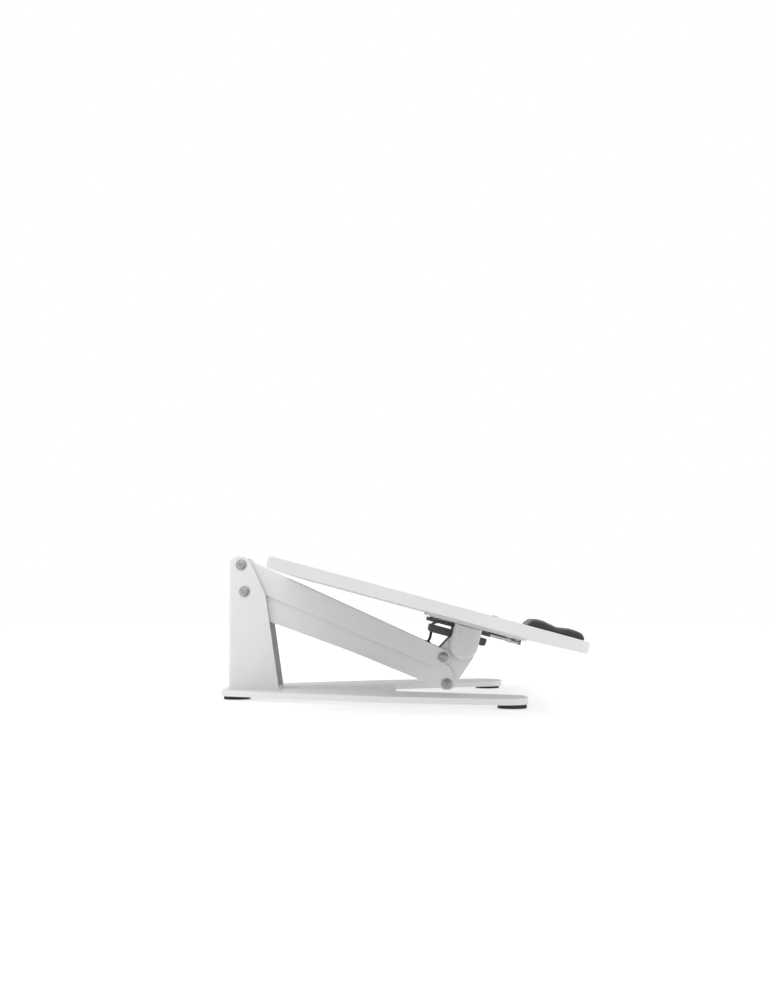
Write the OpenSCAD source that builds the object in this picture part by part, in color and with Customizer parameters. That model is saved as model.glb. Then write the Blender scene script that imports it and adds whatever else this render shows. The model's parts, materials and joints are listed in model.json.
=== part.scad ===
// Standing desk converter: a parallelogram arm lifts a tilting desktop from a V-shaped base.
// Frame: +Z up, -Y is the user's side, origin on the floor under the middle of the object.
// Side-view coordinates are [forward, up]; forward is -Y.

/* [Desktop] */
// Width of the desktop, left to right
desk_width = 900; // [700:10:1200]
// Depth of the desktop, front to back
desk_depth = 435; // [400:5:520]
// Thickness of the board
desk_thickness = 16; // [12:1:25]
// Corner radius of the board in plan
desk_corner = 28; // [10:1:60]
// Distance from the tilt axis to the board's front edge
desk_overhang = 136; // [130:1:170]
// Height of the board's underside above the tilt axis
desk_standoff = 35; // [35:1:45]
// Forward tilt of the desktop when lowered, degrees
desk_tilt = 15.1; // [10:0.1:16]

/* [Palm pads] */
// Length of each palm pad, left to right
palm_width = 80; // [50:1:200]
// Distance from a pad's outer end to the board's side
palm_inset = 30; // [5:1:60]
// Depth of the palm pads
palm_depth = 82; // [60:1:100]
// Height of its rear hump
palm_height = 12.3; // [8:0.1:20]
// Distance of the pads from the board's front edge
palm_setback = 5; // [2:1:20]

/* [Arm] */
// Distance between the two pivots of each link
link_length = 350; // [280:1:420]
// Angle of the arm below level when lowered
arm_drop = 24.4; // [20:0.1:28]
// Angle of the arm above level when raised
arm_rise = 50.1; // [40:0.1:55]
// Distance between the upper and lower pivots
pivot_gap = 42.4; // [40:0.1:46]
// Backward lean of the upper pivots over the lower ones, degrees
pivot_lean = 7.5; // [5:0.1:10]
// Outer width of the upper link
upper_width = 92; // [80:1:110]
// Sheet thickness of both links
link_sheet = 2.5; // [2:0.1:3]
// Side gap between the nested links
nest_gap = 1; // [0.6:0.1:1.5]

/* [Pivots] */
// Height of the front upper pivot above the floor when lowered
front_pivot_height = 65.2; // [62:0.1:80]
// Radius of the arm's axles
axle_r = 5; // [4:0.1:6]
// Radius of the tilt axle
tilt_axle_r = 6; // [5:0.1:7]
// Radial running clearance of a pivot
run_fit = 0.05; // [0.02:0.01:0.09]
// Gap between faces that slide past each other
face_gap = 0.3; // [0.2:0.05:0.5]
// Radius of a button head
head_r = 7.25; // [6.5:0.05:7.5]
// Height of a button head
head_h = 4.4; // [3.5:0.1:5]
// Radius of a pivot washer
washer_r = 8.5; // [8:0.1:9]
// Thickness of a pivot washer
washer_t = 1.2; // [0.8:0.1:2]

/* [Knuckle] */
// Forward offset of the tilt axis from the front upper pivot
tilt_forward = 32.2; // [31:0.1:36]
// Height of the tilt axis above the front upper pivot
tilt_up = 18.2; // [17:0.1:22]
// Plate thickness of the knuckle
knuckle_plate = 4; // [3:0.1:5]
// Plate thickness of the desktop's ears
ear_plate = 4; // [3:0.1:5]
// Half-width and tip radius of an ear
ear_r = 22; // [20:0.5:23]
// Thickness of the domed pivot covers
cover_t = 3.5; // [2:0.1:5]

/* [Tower] */
// Room on each side between the upper link and the tower's wall
tower_room = 3; // [2:0.1:6]
// Sheet thickness of the tower
tower_sheet = 3; // [2:0.1:4]
// Distance from the rear upper pivot back to the tower's rear face
tower_back = 18.6; // [18:0.1:24]
// Distance from the rear upper pivot forward to the tower's front foot
tower_front = 60.4; // [50:0.1:80]

/* [Base] */
// Thickness of the base plate
base_t = 9; // [8:0.5:14]
// Half-width of the base at its front tips
base_front_half = 294; // [240:1:340]
// Half-width of the base at its rear end
base_rear_half = 80; // [70:1:120]
// Forward reach of the base's tips past the front upper pivot
base_reach = 112.7; // [80:0.1:150]
// Reach of the base behind the tower
base_heel = 9; // [6:0.5:30]
// Half-width of the base beside the middle of the arm
base_mid_half = 232; // [180:1:280]
// Half-width of the notch at its rear edge
notch_half = 100; // [70:1:130]
// Distance from the front upper pivot back to the notch's rear edge
notch_back = 75.3; // [60:0.1:110]
// Width of each leg at its tip
leg_width = 98; // [70:1:120]
// Radius of the rubber feet
foot_r = 21; // [15:0.5:25]
// Height of the rubber feet
foot_h = 6; // [4:0.5:10]

/* [Gas spring] */
// Radius of the barrel
barrel_r = 11; // [9:0.5:12]
// Radius of the rod
rod_r = 5; // [4:0.5:6]
// Wall of the barrel
barrel_wall = 1.5; // [1:0.1:2]
// Distance from the rear upper pivot to the anchor pin
anchor_arm = 21; // [20:0.1:22]
// Radius of the anchor pin
anchor_pin_r = 4.5; // [4:0.1:4.5]
// Radial room of the barrel's eye around the anchor pin
anchor_play = 3.4; // [3.2:0.1:3.6]

/* [Release] */
// Radius of the release cable
cable_r = 2.25; // [1.5:0.05:2.5]
// Side offset of the cable where it enters the arm
cable_x = 16; // [15:0.5:18]
// Width of the hand lever
lever_width = 52; // [40:1:60]
// Distance of the lever from the object's middle
lever_x = 300; // [220:1:340]

/* [Hidden] */

$fn = 48;
eps = 0.01;
corner_steps = 6;

base_top = foot_h + base_t;
desk_rear = desk_depth - desk_overhang;
palm_front = desk_overhang - palm_setback;

// Forward reach of the object before and behind the front upper pivot; the origin is midway
reach_front = tilt_forward + desk_overhang * cos(desk_tilt)
    + (desk_standoff + desk_thickness) * sin(desk_tilt);
reach_rear = link_length * cos(arm_drop) + tower_back + base_heel;

// Side-view points of the pivots when lowered
front_upper = [(reach_rear - reach_front) / 2, front_pivot_height];
gap_vector = pivot_gap * [-sin(pivot_lean), cos(pivot_lean)];
front_lower = front_upper - gap_vector;
rear_upper = front_upper - link_length * [cos(arm_drop), -sin(arm_drop)];
rear_lower = rear_upper - gap_vector;
tilt_axis = front_upper + [tilt_forward, tilt_up];

// The spring anchor lies square to the arm's middle position
anchor_angle = (arm_rise - arm_drop) / 2 - 90;
anchor = rear_upper + anchor_arm * [cos(anchor_angle), sin(anchor_angle)];
spring_vector = anchor - front_upper;
spring_length = norm(spring_vector);
spring_angle = atan2(-spring_vector[1], -spring_vector[0]);

// Half-widths of the nested layers, from the outside in
upper_half = upper_width / 2;
tower_inner = upper_half + tower_room;
tower_half = tower_inner + tower_sheet;
upper_inner = upper_half - link_sheet;
lower_half = upper_inner - nest_gap;
lower_inner = lower_half - link_sheet;
knuckle_half = lower_inner - nest_gap;
knuckle_inner = knuckle_half - knuckle_plate;
ear_inner = upper_half + 0.5;
ear_half = ear_inner + ear_plate;

// Upper link: edge heights over its pivot line
link_top = 11;
upper_bottom_rear = 28.5;
upper_bottom_front = 20.3;
web_cut_front = 15;
web_cut_rear = 4;
cable_hole_back = 29.4;
wire_r = 0.9;
wire_end = 5.5;

// Lower link: edge heights over its pivot line
lower_top = 21.5;
lower_top_front = 27;
lower_bottom_rear = 31;
lower_bottom_front = 11;
lower_mid = 190;
lower_bottom_mid = 16.5;
lower_belly_r = 300;

tower_rear = rear_upper[0] - tower_back;
tower_foot_front = rear_upper[0] + tower_front;
base_rear = tower_rear - base_heel;
base_front = front_upper[0] + base_reach;
base_mid = front_upper[0] - 87;
notch_rear = front_upper[0] - notch_back;
foot_inset = foot_r + 2;

plate_t = 4;
plate_back = 70;
plate_front = 90;
plate_half = 95;
carrier_half = 32;
carrier_top = desk_standoff - plate_t - 2;
carrier_bottom = carrier_top - 6;
block_bottom = tilt_axle_r + 0.6;
block_top = block_bottom + 12.4;
block_back = 60;
block_front = 34;
tunnel_back = 53;
tunnel_r = cable_r + 0.9;
cable_entry_v = 13;

lever_back = 70;
lever_front = 118;
lever_drop = 12;
lever_t = 4;
lever_pin_r = 2;
lever_coil_r = 4.3;

// A unit vector
function unit(v) = v / norm(v);

// The arc that rounds corner p between neighbours a and b
function corner_arc(a, p, b, r) =
    let (
        u = unit(a - p),
        v = unit(b - p),
        half = acos(min(1, max(-1, u * v))) / 2,
        c = p + unit(u + v) * r / sin(half),
        s = p + u * r / tan(half) - c,
        e = p + v * r / tan(half) - c,
        a0 = atan2(s[1], s[0]),
        turn = atan2(s[0] * e[1] - s[1] * e[0], s * e)
    )
    [for (i = [0:corner_steps]) c + r * [cos(a0 + turn * i / corner_steps), sin(a0 + turn * i / corner_steps)]];

// A closed outline from [x, y, corner radius] points
function outline(pts) = [
    for (i = [0:len(pts) - 1])
        let (
            n = len(pts),
            a = pts[(i + n - 1) % n],
            p = pts[i],
            b = pts[(i + 1) % n]
        )
        each (p[2] == 0 ? [[p[0], p[1]]]
            : corner_arc([a[0], a[1]], [p[0], p[1]], [b[0], b[1]], p[2]))
];

// The same outline mirrored over its first axis, for a shape given by its half
function mirrored(pts) = concat(pts, [for (i = [len(pts) - 1:-1:0]) [-pts[i][0], pts[i][1], pts[i][2]]]);

// Moves to side-view point p and turns by angle a, nose up
module at(p, a = 0) {
    translate([0, -p[0], p[1]]) rotate([-a, 0, 0]) children();
}

// Extrudes a [forward, up] shape from x0 to x1
module side(x0, x1) {
    translate([x1, 0, 0]) rotate([90, 0, -90]) linear_extrude(height = x1 - x0) children();
}

// A pair of mirrored side extrusions
module both_sides(x0, x1) {
    side(x0, x1) children();
    side(-x1, -x0) children();
}

// A cylinder across the object at side-view point p
module cross(p, r, x0, x1) {
    side(x0, x1) translate(p) circle(r);
}

// The desktop's frame: tilt axis at the origin, board parallel to XY
module on_desk() {
    at(tilt_axis, -desk_tilt) children();
}

// The frame of each link, forward along its pivot line
module on_upper() {
    at(rear_upper, -arm_drop) children();
}
module on_lower() {
    at(rear_lower, -arm_drop) children();
}

// The gas spring's frame: rod eye at the origin, forward along the spring
module on_spring() {
    at(front_upper, spring_angle) children();
}

// A block in the desktop's frame, from u0 to u1 forward and v0 to v1 up
module desk_block(x0, x1, u0, u1, v0, v1) {
    translate([x0, -u1, v0]) cube([x1 - x0, u1 - u0, v1 - v0]);
}

// A button-head bolt that stands out along X from x0, with a hexagon socket
module button_bolt(p, x0, sign) {
    translate([sign * x0, -p[0], p[1]]) rotate([0, sign * 90, 0])
        difference() {
            intersection() {
                cylinder(r = head_r, h = head_h);
                translate([0, 0, head_h - head_r * 1.55]) sphere(head_r * 1.55);
            }
            translate([0, 0, head_h - 2.4]) cylinder(r = 2.9, h = 3, $fn = 6);
        }
}

// A ring across the object between x0 and x1
module ring(p, r_out, r_in, x0, x1) {
    side(x0, x1) translate(p) difference() {
        circle(r_out);
        circle(r_in);
    }
}

// Rings on both sides
module ring_pair(p, r_out, r_in, x0, x1) {
    ring(p, r_out, r_in, x0, x1);
    ring(p, r_out, r_in, -x1, -x0);
}

// ---------------------------------------------------------------- base
base_outline = outline(mirrored([
    [base_rear_half, -base_rear, 20],
    [base_mid_half, -base_mid, 160],
    [base_front_half, -base_front, 34],
    [base_front_half - leg_width, -base_front, 34],
    [notch_half, -notch_rear, 26]
]));

tower_screw_spots = [
    for (x = [-30, 30], f = [tower_rear + 17, tower_foot_front - 17]) [x, -f]
];
tower_screw_r = 3;

module base_plate() {
    color("white") translate([0, 0, foot_h]) difference() {
        linear_extrude(height = base_t) polygon(base_outline);
        for (p = tower_screw_spots)
            translate([p[0], p[1], -eps]) cylinder(r = tower_screw_r, h = base_t + 1);
    }
}

front_foot = [base_front_half - leg_width / 2 + 3, base_front - foot_inset];
rear_foot = [base_rear_half - foot_inset - 6, base_rear + foot_inset];

module foot(p, sign) {
    color("black") translate([sign * p[0], -p[1], 0]) cylinder(r = foot_r, h = foot_h);
}

module tower() {
    height = rear_upper[1];
    color("white") difference() {
        intersection() {
            side(-tower_half, tower_half) polygon(outline([
                [tower_rear, base_top, 0],
                [tower_rear, height + 6, 6],
                [rear_upper[0] - 8, height + 13.3, 8],
                [rear_upper[0] + 5, height + 13.3, 8],
                [rear_upper[0] + 14.2, height + 4.5, 5],
                [rear_upper[0] + 38.4, height - 46.8, 40],
                [tower_foot_front, base_top, 0]
            ]));
            linear_extrude(height = height + 50) polygon(outline(mirrored([
                [tower_half, -tower_rear, 5],
                [tower_half, -tower_foot_front - 1, 0]
            ])));
        }
        side(-tower_inner, tower_inner) polygon([
            [tower_rear + tower_sheet, base_top + tower_sheet],
            [tower_rear + tower_sheet, height + 50],
            [tower_foot_front + 1, height + 50],
            [tower_foot_front + 1, base_top + tower_sheet]
        ]);
        cross(rear_upper, axle_r, -2 * tower_half, 2 * tower_half);
        cross(rear_lower, axle_r, -2 * tower_half, 2 * tower_half);
        for (p = tower_screw_spots)
            translate([p[0], p[1], base_top - 1]) cylinder(r = tower_screw_r, h = tower_sheet + 2);
    }
}

module tower_screws() {
    color("dimgray") for (p = tower_screw_spots) translate([p[0], p[1], foot_h + 1]) {
        cylinder(r = tower_screw_r, h = base_t + tower_sheet);
        translate([0, 0, base_t + tower_sheet - 1]) cylinder(r = 5.2, h = 3.2);
    }
}

module rear_upper_axle() {
    color("silver") cross(rear_upper, axle_r, -tower_half, tower_half);
}

module rear_lower_axle() {
    color("silver") cross(rear_lower, axle_r, -tower_half, tower_half);
}

module rear_washers() {
    color("gainsboro") for (p = [rear_upper, rear_lower], s = [-1, 1])
        translate([s * tower_half, -p[0], p[1]]) rotate([0, s * 90, 0])
            cylinder(r = washer_r, h = washer_t);
}

module rear_bolts() {
    color("dimgray") for (p = [rear_upper, rear_lower], s = [-1, 1])
        button_bolt(p, tower_half + washer_t, s);
}

module rear_upper_bushes() {
    color("white") ring_pair(rear_upper, 9, axle_r, upper_half + face_gap, tower_inner);
}

module rear_lower_bushes() {
    color("white") ring_pair(rear_lower, 7, axle_r, lower_half + face_gap, tower_inner);
}

anchor_tab_in = 14;
anchor_tab_out = 17;
anchor_tab_r = 8.5;

module spring_anchor() {
    back = tower_rear + tower_sheet;
    color("silver") difference() {
        union() {
            both_sides(anchor_tab_in, anchor_tab_out) {
                translate(anchor) circle(anchor_tab_r);
                translate([back, anchor[1] - anchor_tab_r])
                    square([anchor[0] - back, 2 * anchor_tab_r]);
            }
            side(-anchor_tab_out, anchor_tab_out)
                translate([back, anchor[1] - 22]) square([3, 44]);
        }
        cross(anchor, anchor_pin_r, -30, 30);
    }
}

module spring_anchor_pin() {
    color("gray") cross(anchor, anchor_pin_r, -anchor_tab_out - 2, anchor_tab_out + 2);
}

// ---------------------------------------------------------------- arm
module upper_link() {
    color("white") on_upper() difference() {
        side(-upper_half, upper_half) polygon(outline([
            [-11.5, link_top, 9],
            [-11.5, -5, 6],
            [12, -upper_bottom_rear, 4],
            [link_length - 6, -upper_bottom_front, 6],
            [link_length + link_top, -4.5, 7],
            [link_length + link_top, link_top, 10.5]
        ]));
        side(-upper_inner, upper_inner) polygon([
            [-20, -40], [link_length + 20, -40],
            [link_length + 20, link_top - link_sheet], [-20, link_top - link_sheet]
        ]);
        side(-upper_inner, upper_inner) translate([-20, -5]) square([20 + web_cut_rear, 30]);
        side(-upper_inner, upper_inner)
            translate([link_length - web_cut_front, -5]) square([web_cut_front + 20, 30]);
        cross([0, 0], axle_r + run_fit, -60, 60);
        cross([link_length, 0], axle_r + run_fit, -60, 60);
        translate([cable_x, -(link_length - cable_hole_back), 0])
            cylinder(r = cable_r + 1.75, h = 20);
    }
}

module cable_grommet() {
    color("black") on_upper() translate([cable_x, -(link_length - cable_hole_back), 0])
        difference() {
            union() {
                translate([0, 0, link_top - link_sheet]) cylinder(r = cable_r + 1.75, h = link_sheet);
                translate([0, 0, link_top]) cylinder(r = cable_r + 3, h = 1.2);
            }
            translate([0, 0, 2]) cylinder(r = cable_r + 0.15, h = 20);
        }
}

module release_wire() {
    color("silver") on_upper() translate([cable_x, -(link_length - cable_hole_back), -wire_end])
        cylinder(r = wire_r, h = wire_end + link_top - link_sheet - 3);
}

module lower_link() {
    color("white") on_lower() difference() {
        side(-lower_half, lower_half) polygon(outline([
            [-10.5, 8, 5],
            [-10.5, -14, 5],
            [2, -lower_bottom_rear, 5],
            [lower_mid, -lower_bottom_mid, lower_belly_r],
            [link_length - 14, -lower_bottom_front, 40],
            [link_length + 9.3, -9.3, 9],
            [link_length + 9.3, lower_top_front, 26],
            [link_length - 36, lower_top_front, 12],
            [link_length - 50, lower_top, 12],
            [12, lower_top, 5]
        ]));
        side(-lower_inner, lower_inner) polygon([
            [-20, 60],
            [-20, link_sheet - lower_bottom_rear - 1.8],
            [lower_mid, link_sheet - lower_bottom_mid + 0.1],
            [link_length - 14, link_sheet - lower_bottom_front],
            [link_length + 30, link_sheet - lower_bottom_front],
            [link_length + 30, 60]
        ]);
        side(-lower_inner, lower_inner)
            translate([link_length - web_cut_front, -20]) square([60, 60]);
        cross([0, 0], axle_r + run_fit, -60, 60);
        cross([link_length, 0], axle_r + run_fit, -60, 60);
    }
}

// ---------------------------------------------------------------- knuckle
module knuckle() {
    low = front_lower - front_upper;
    web_dir = unit([tilt_forward + 13.7, tilt_up - 21.2] - [low[0] + 10.2, low[1] + 1.5]);
    web_in = [-web_dir[1], web_dir[0]] * knuckle_plate;
    web_start = [low[0] + 10.5, low[1] + 2.5];
    web_end = [tilt_forward + 12.8, tilt_up - 21.7];
    color("white") at(front_upper) difference() {
        union() {
            both_sides(knuckle_inner, knuckle_half) polygon(outline([
                [low[0] - 10, low[1] - 10, 9.5],
                [low[0] + 8, low[1] - 10, 9],
                [tilt_forward + 15.3, tilt_up - 20, 12],
                [tilt_forward + 18, tilt_up - 4, 12],
                [tilt_forward + 7.8, tilt_up + 20.5, 6],
                [tilt_forward - 13.2, tilt_up + 20.5, 4],
                [-10.5, 8, 5],
                [-12, -6, 8]
            ]));
            side(-knuckle_inner - eps, knuckle_inner + eps)
                polygon([web_start, web_end, web_end + web_in, web_start + web_in]);
        }
        cross([0, 0], axle_r, -60, 60);
        cross(low, axle_r, -60, 60);
        cross([tilt_forward, tilt_up], tilt_axle_r + run_fit, -60, 60);
    }
}

module front_upper_axle() {
    color("silver") cross(front_upper, axle_r, -upper_half - face_gap, upper_half + face_gap);
}

module front_lower_axle() {
    color("silver") cross(front_lower, axle_r, -lower_half - face_gap, lower_half + face_gap);
}

module front_washers() {
    color("gainsboro") for (q = [[front_upper, upper_half], [front_lower, lower_half]], s = [-1, 1])
        translate([s * (q[1] + face_gap), -q[0][0], q[0][1]]) rotate([0, s * 90, 0])
            cylinder(r = washer_r, h = washer_t);
}

module front_bolts() {
    color("dimgray") for (q = [[front_upper, upper_half], [front_lower, lower_half]], s = [-1, 1])
        button_bolt(q[0], q[1] + face_gap + washer_t, s);
}

module front_spacers() {
    color("white") {
        ring_pair(front_upper, 8, axle_r, knuckle_half, upper_inner - face_gap);
        ring_pair(front_lower, 8, axle_r, knuckle_half, lower_inner - face_gap);
    }
}

module tilt_spacers() {
    color("white") ring_pair(tilt_axis, 14, tilt_axle_r, knuckle_half + face_gap, ear_inner);
}

// ---------------------------------------------------------------- desktop
module desktop() {
    color("white") on_desk() translate([0, 0, desk_standoff])
        linear_extrude(height = desk_thickness) polygon(outline([
            [desk_width / 2, desk_rear, desk_corner],
            [desk_width / 2, -desk_overhang, desk_corner],
            [-desk_width / 2, -desk_overhang, desk_corner],
            [-desk_width / 2, desk_rear, desk_corner]
        ]));
}

plate_screw_spots = [
    for (x = [-plate_half + 14, plate_half - 14], u = [-plate_back + 14, 10, plate_front - 14]) [x, u]
];

module mounting_plate() {
    color("white") on_desk() difference() {
        union() {
            translate([0, 0, desk_standoff - plate_t]) linear_extrude(height = plate_t)
                polygon(outline(mirrored([
                    [plate_half, plate_back, 10],
                    [plate_half, -plate_front, 10]
                ])));
            desk_block(-carrier_half + 4, carrier_half - 4, -block_back, block_front,
                carrier_top, desk_standoff - plate_t + eps);
        }
        for (p = plate_screw_spots)
            translate([p[0], -p[1], 0]) cylinder(r = 2, h = desk_standoff + 1);
    }
}

module ear(sign) {
    x0 = sign > 0 ? ear_inner : -ear_half;
    color("white") on_desk() side(x0, x0 + ear_plate) difference() {
        union() {
            circle(ear_r);
            translate([-ear_r, 0]) square([2 * ear_r, desk_standoff - plate_t]);
        }
        circle(tilt_axle_r);
    }
}

module tilt_axle() {
    color("silver") cross(tilt_axis, tilt_axle_r, -ear_half, ear_half);
}

module pivot_cover(sign) {
    x0 = sign > 0 ? ear_half : -ear_half - cover_t;
    cover_r = ear_r - 1.4;
    color("white") on_desk() side(x0, x0 + cover_t) {
        circle(cover_r);
        translate([-cover_r, 0]) square([2 * cover_r, desk_standoff - plate_t - 1]);
    }
}

module plate_screws() {
    color("silver") on_desk() for (p = plate_screw_spots) translate([p[0], -p[1], 0]) {
        translate([0, 0, desk_standoff - plate_t - 2.2]) cylinder(r = 4, h = 2.2);
        translate([0, 0, desk_standoff - plate_t - eps]) cylinder(r = 2, h = plate_t + eps);
    }
}

module tilt_carrier() {
    color("black") on_desk() {
        desk_block(-carrier_half, carrier_half, -block_back - 6, block_front + 4, carrier_bottom, carrier_top);
        desk_block(-12, 12, -20, 20, block_top, carrier_bottom + eps);
    }
}

module mechanism_block() {
    x1 = carrier_half - 1;
    color("black") on_desk() difference() {
        side(-x1, x1) polygon(outline([
            [-block_back, block_top, 2],
            [-block_back, block_bottom, 5],
            [block_front, block_bottom, 5],
            [block_front, block_top, 2]
        ]));
        translate([cable_x, tunnel_back, block_bottom - 1]) cylinder(r = tunnel_r, h = 30);
        translate([x1 - 6, tunnel_back, cable_entry_v]) rotate([0, 90, 0])
            cylinder(r = cable_r, h = 10);
    }
}

module palm_pad(sign) {
    r = palm_height;
    outer = desk_width / 2 - palm_inset;
    x0 = sign > 0 ? outer - palm_width : -outer;
    color("black") on_desk() translate([0, 0, desk_standoff + desk_thickness])
        side(x0, x0 + palm_width) polygon(outline([
            [palm_front - palm_depth, 0, 0],
            [palm_front - palm_depth + 1, r * 0.3, 1],
            [palm_front - palm_depth + 6, r, 4],
            [palm_front - palm_depth + 18, r, 10],
            [palm_front - palm_depth * 0.53, r * 0.68, 20],
            [palm_front - palm_depth * 0.4, r * 0.92, 10],
            [palm_front, r * 0.9, 6],
            [palm_front, 0, 0]
        ]));
}

// ---------------------------------------------------------------- release lever and cable
housing_half = lever_width / 2 + 4;
housing_low = desk_standoff - lever_drop;
lever_pivot = [lever_back, housing_low + 5];

module lever_housing() {
    color("black") on_desk() difference() {
        desk_block(lever_x - housing_half, lever_x + housing_half, lever_back - 8, lever_front - 6,
            housing_low, desk_standoff);
        desk_block(lever_x - lever_width / 2 - 1, lever_x + lever_width / 2 + 1,
            lever_back - 5.5, lever_front + 10, housing_low - 1, desk_standoff - 2.5);
        cross(lever_pivot, lever_pin_r, lever_x - 60, lever_x + 60);
        translate([lever_x - housing_half - 1, -(lever_front - 14), desk_standoff - 5])
            rotate([0, 90, 0]) cylinder(r = cable_r, h = 4);
    }
}

module lever_screws() {
    color("silver") on_desk() for (s = [-1, 1])
        translate([lever_x + s * (housing_half - 1.5), -(lever_front - 20), housing_low - 1.4])
            cylinder(r = 1.3, h = 1.4);
}

module lever_pin() {
    color("silver") on_desk()
        cross(lever_pivot, lever_pin_r, lever_x - housing_half, lever_x + housing_half);
}

module lever_spring() {
    color("silver") on_desk() ring(lever_pivot, lever_coil_r, lever_coil_r - 0.8, lever_x - lever_width / 2 - 0.6, lever_x - lever_width / 2 + 5);
}

module hand_lever() {
    half = lever_width / 2;
    color("black") on_desk() difference() {
        union() {
            side(lever_x - half, lever_x + half) polygon(outline([
                [lever_back + 1, housing_low + 3.2, 0],
                [lever_back + 10, housing_low, 4],
                [lever_front, housing_low, 1.5],
                [lever_front, housing_low + lever_t - 1, 1.4],
                [lever_back + 10, housing_low + lever_t - 1, 4],
                [lever_back + 1, housing_low + 6.6, 0]
            ]));
            cross(lever_pivot, 3.6, lever_x - half, lever_x + half);
        }
        cross(lever_pivot, lever_pin_r + run_fit, lever_x - 60, lever_x + 60);
        ring(lever_pivot, 20, 3.4, lever_x - half - 1, lever_x - half + 6);
    }
}

// Route of the cable under the desktop: [x, forward, up] in the desktop's frame
cable_route = [
    [lever_x - housing_half + 3, lever_front - 14, 30], [262, lever_front - 14, 30], [252, 104, 30],
    [240, 104, 30], [225, 104, 30], [205, 104, 30], [185, 103, 30], [165, 98, 30], [146, 88, 30],
    [130, 74, 30], [122, 62, 30], [120, 50, 30], [120, 35, 30], [120, 20, 30], [120, 5, 30],
    [119, -10, 30], [115, -25, 29], [107, -38, 26.5], [95, -47, 23], [80, -52, 19], [64, -53, 15.5],
    [50, -53, 13.5], [38, -53, 13], [carrier_half - 1, -53, 13]
];
// Desktop-frame point as a model vector before the tilt
function desk_point(p) = [p[0], -p[1], p[2]];
// The same point in the model's frame
function desk_to_model(p) =
    let (y = -p[1], z = p[2], c = cos(desk_tilt), s = sin(desk_tilt))
    [p[0], y * c - z * s - tilt_axis[0], y * s + z * c + tilt_axis[1]];
// A point of the upper link's frame, [x, along, up], in the model's frame
function upper_to_model(p) = [
    p[0],
    -(rear_upper[0] + p[1] * cos(arm_drop) + p[2] * sin(arm_drop)),
    rear_upper[1] - p[1] * sin(arm_drop) + p[2] * cos(arm_drop)
];

// Unit tangent of a route at point i
function tangent(pts, i) = unit(pts[min(i + 1, len(pts) - 1)] - pts[max(i - 1, 0)]);

// A round tube swept along a route; side is a direction never parallel to it
module tube(pts, r, side_dir, n = 8) {
    rings = [
        for (i = [0:len(pts) - 1])
            let (t = tangent(pts, i), a = unit(cross(t, side_dir)), b = cross(a, t))
            for (k = [0:n - 1]) pts[i] + r * (cos(360 * k / n) * a + sin(360 * k / n) * b)
    ];
    last = (len(pts) - 1) * n;
    polyhedron(rings, concat(
        [[for (k = [0:n - 1]) k]],
        [for (i = [0:len(pts) - 2], k = [0:n - 1])
            [i * n + k, (i + 1) * n + k, (i + 1) * n + (k + 1) % n, i * n + (k + 1) % n]],
        [[for (k = [n - 1:-1:0]) last + k]]
    ));
}
module cable_clips() {
    color("black") on_desk() {
        for (u = [42, 12]) difference() {
            desk_block(112, 128, u - 5, u + 5, 26.5, desk_standoff);
            translate([120, -u, 30]) rotate([90, 0, 0]) cylinder(r = cable_r + 0.3, h = 40, center = true);
        }
        difference() {
            desk_block(220, 232, 96, 112, 26.5, desk_standoff);
            translate([226, -104, 30]) rotate([0, 90, 0]) cylinder(r = cable_r + 0.3, h = 40, center = true);
        }
    }
}

module release_cable() {
    color("black") on_desk() tube([for (p = cable_route) desk_point(p)], cable_r, [0, 0, 1]);
}

module cable_loop() {
    hole = link_length - cable_hole_back;
    color("black") tube(concat(
        [for (p = [[cable_x, -tunnel_back, block_top - 1], [cable_x, -tunnel_back, 13], [cable_x, -tunnel_back, 7]])
            desk_to_model(p)],
        [for (p = [[cable_x, hole, 19], [cable_x, hole, 14], [cable_x, hole, link_top - link_sheet]])
            upper_to_model(p)]
    ), cable_r, [1, 0, 0]);
}

// ---------------------------------------------------------------- gas spring
head_end = 40;
head_body_r = 7.6;
rod_end = 150;
barrel_start = 70;
barrel_end = spring_length - 27;
eye_r = anchor_pin_r + anchor_play + 3.5;
// The release rocker: a bar across its pin with a finger at each end, balanced about the pin
rocker_half = 11.5;
rocker_t = 3.5;
finger_w = 3;
rocker_x = 4.2;
cam_place = [rocker_half - cable_hole_back, -12.5];

module spring_rod() {
    color("silver") on_spring() rotate([-90, 0, 0]) {
        translate([0, 0, head_end]) cylinder(r = rod_r, h = rod_end - head_end);
        translate([0, 0, rod_end - 10]) cylinder(r = barrel_r - barrel_wall - run_fit, h = 10);
    }
}

module release_head() {
    color("dimgray") on_spring() difference() {
        union() {
            cross([0, 0], 10, -9, 9);
            rotate([-90, 0, 0]) cylinder(r = head_body_r, h = head_end);
            both_sides(4.5, 7) translate([cam_place[0] - 5, cam_place[1] - 4]) square([10, 12.5]);
        }
        cross([0, 0], axle_r + run_fit, -20, 20);
        cross(cam_place, 2, -20, 20);
        desk_block(-4.5, 4.5, cam_place[0] - 9, cam_place[0] + 9, cam_place[1] - 10, cam_place[1] + 4.6);
    }
}

module cam_pin() {
    color("silver") on_spring() cross(cam_place, 2, -7, 7);
}

module release_cam() {
    color("silver") on_spring() difference() {
        union() {
            cross(cam_place, 4, -rocker_x, rocker_x);
            side(-rocker_x, rocker_x) translate([cam_place[0] - rocker_half, cam_place[1] - rocker_t / 2])
                square([2 * rocker_half, rocker_t]);
            side(0, cable_x + 3) translate([cam_place[0] - rocker_half, cam_place[1] - rocker_t / 2])
                square([finger_w, rocker_t]);
            side(-cable_x - 3, 0)
                translate([cam_place[0] + rocker_half - finger_w, cam_place[1] - rocker_t / 2])
                    square([finger_w, rocker_t]);
        }
        cross(cam_place, 2 + run_fit, -20, 20);
    }
}

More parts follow.
